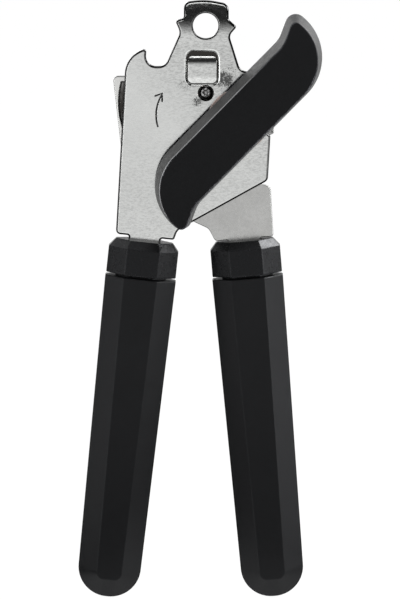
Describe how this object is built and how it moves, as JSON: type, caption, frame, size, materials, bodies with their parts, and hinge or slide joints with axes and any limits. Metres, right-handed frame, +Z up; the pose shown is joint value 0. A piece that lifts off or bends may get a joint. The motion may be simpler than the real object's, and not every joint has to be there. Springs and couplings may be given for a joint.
{
  "type": "manual can opener",
  "caption": "Hand-held can opener with two faceted handles, a curved turning key, a toothed feed wheel, a round cutter, a hang hole and a bottle-opener notch.",
  "frame": {"origin": "centre of the hang hole, at the middle of the front plate's thickness", "axes": "+Z up, from the handles towards the hang hole; +Y from the front with the key to the back with the cutter; +X to the right seen from the front"},
  "size_m": [0.0866, 0.0303, 0.2141],
  "materials": {
    "bright_plate": "bright nickel or chrome plate with soft waves and fine handling smudges",
    "satin_plate": "matte plated steel with a fine grain",
    "plated_steel": "smooth plated steel",
    "hard_steel": "ground hardened steel",
    "bronze": "dull sintered bronze",
    "dark_pin": "black oxide, smooth domed end",
    "black_moulding": "black moulded plastic with a fine grain"
  },
  "bodies": {
    "frame": {"front_plate": "bright_plate", "left_collar": "black_moulding", "left_grip": "black_moulding", "shaft_bush": "bronze", "thrust_washer": "plated_steel", "pivot_rivet": "plated_steel", "pivot_washer": "plated_steel", "stop_pin": "dark_pin"},
    "rear": {"rear_plate": "satin_plate", "right_collar": "black_moulding", "right_grip": "black_moulding", "cutter_stud": "plated_steel", "cutter_screw": "plated_steel", "cutter_spring_washer": "plated_steel"},
    "key": {"key_knob": "black_moulding", "key_insert": "plated_steel", "key_shaft": "plated_steel", "feed_wheel": "hard_steel", "feed_wheel_nut": "plated_steel"},
    "cutter": {"cutter_wheel": "hard_steel", "cutter_bush": "bronze"}
  },
  "joints": [
    {"name": "handle_pivot", "type": "hinge", "parent": "frame", "child": "rear", "pos_m": [0.0005, 0, -0.04383], "axis": [0, 1, 0], "range_deg": [0, 10.5]},
    {"name": "key_spin", "type": "hinge", "parent": "frame", "child": "key", "pos_m": [0.0116, 0, -0.0336], "axis": [0, 1, 0], "continuous": true},
    {"name": "cutter_spin", "type": "hinge", "parent": "rear", "child": "cutter", "pos_m": [-0.0057, 0, -0.03464], "axis": [0, 1, 0], "continuous": true}
  ]
}
